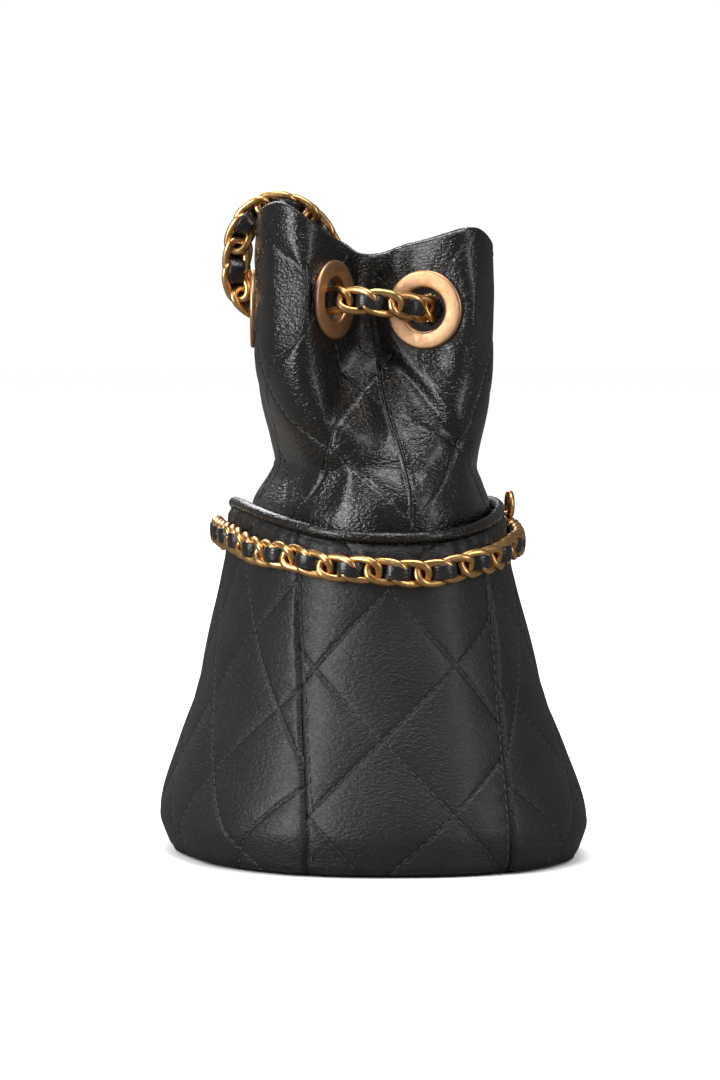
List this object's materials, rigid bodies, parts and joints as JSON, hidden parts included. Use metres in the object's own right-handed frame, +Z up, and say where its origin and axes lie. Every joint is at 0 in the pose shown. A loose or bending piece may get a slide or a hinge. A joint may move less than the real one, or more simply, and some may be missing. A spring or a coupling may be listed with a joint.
{
  "type": "bucket bag",
  "caption": "Small black quilted leather bucket bag with a drawn-in neck, gold eyelets and a lace-woven gold chain round the rim and through the mouth.",
  "frame": {"origin": "on the floor, under the middle of the bag's bounding box", "axes": "+Z up out of the mouth, +X across the width from the near gusset to the far gusset, +Y from the front to the back"},
  "size_m": [0.1798, 0.1252, 0.1962],
  "materials": {
    "skirt_leather": "satin quilted lambskin",
    "neck_leather": "glossy grained lambskin",
    "lining_cloth": "matt woven lining",
    "stiffener_board": "matt",
    "eyelet_gold": "satin gold plate",
    "chain_gold": "polished gold plate",
    "lace_leather": "semi-gloss"
  },
  "bodies": {
    "bag": {"skirt_front": "skirt_leather", "skirt_back": "skirt_leather", "skirt_gusset_near": "skirt_leather", "skirt_gusset_far": "skirt_leather", "base_panel": "skirt_leather", "neck_band": "neck_leather", "neck_front": "neck_leather", "neck_back": "neck_leather", "rim_binding": "neck_leather", "lining": "lining_cloth", "slip_pocket": "lining_cloth", "neck_lining_front": "lining_cloth", "neck_lining_back": "lining_cloth", "base_board": "stiffener_board", "eyelet_back_near": "eyelet_gold", "eyelet_back_far": "eyelet_gold", "eyelet_front_near": "eyelet_gold", "eyelet_front_far": "eyelet_gold", "eyelet_washers_front_and_back": "eyelet_gold", "rim_chain_links": "chain_gold", "drawstring_links_front": "chain_gold", "rim_ring": "chain_gold", "rim_ring_posts": "chain_gold", "rim_chain_lace": "lace_leather", "drawstring_lace_front": "lace_leather", "strap_near_run": "lace_leather", "strap_far_run": "lace_leather", "strap_coil": "lace_leather"},
    "near_gusset": {"neck_gusset_near": "neck_leather", "neck_lining_gusset_near": "lining_cloth", "eyelet_gusset_near_back": "eyelet_gold", "eyelet_gusset_near_front": "eyelet_gold", "eyelet_washers_gusset_near": "eyelet_gold", "drawstring_links_gusset_near": "chain_gold", "drawstring_lace_gusset_near": "lace_leather"},
    "far_gusset": {"neck_gusset_far": "neck_leather", "neck_lining_gusset_far": "lining_cloth", "eyelet_gusset_far_back": "eyelet_gold", "eyelet_gusset_far_front": "eyelet_gold", "eyelet_washers_gusset_far": "eyelet_gold", "drawstring_links_gusset_far": "chain_gold", "drawstring_lace_gusset_far": "lace_leather"}
  },
  "joints": [
    {"name": "near_gusset_open", "type": "hinge", "parent": "bag", "child": "near_gusset", "pos_m": [-0.0694, 0.00914, 0.104], "axis": [-0.1305, -0.9914, 0], "range_deg": [0, 12]},
    {"name": "far_gusset_open", "type": "hinge", "parent": "bag", "child": "far_gusset", "pos_m": [0.0694, -0.00914, 0.104], "axis": [0.1305, 0.9914, 0], "range_deg": [0, 12]}
  ],
  "couplings": [
    {"joint": "far_gusset_open", "follows": "near_gusset_open", "ratio": 1}
  ]
}
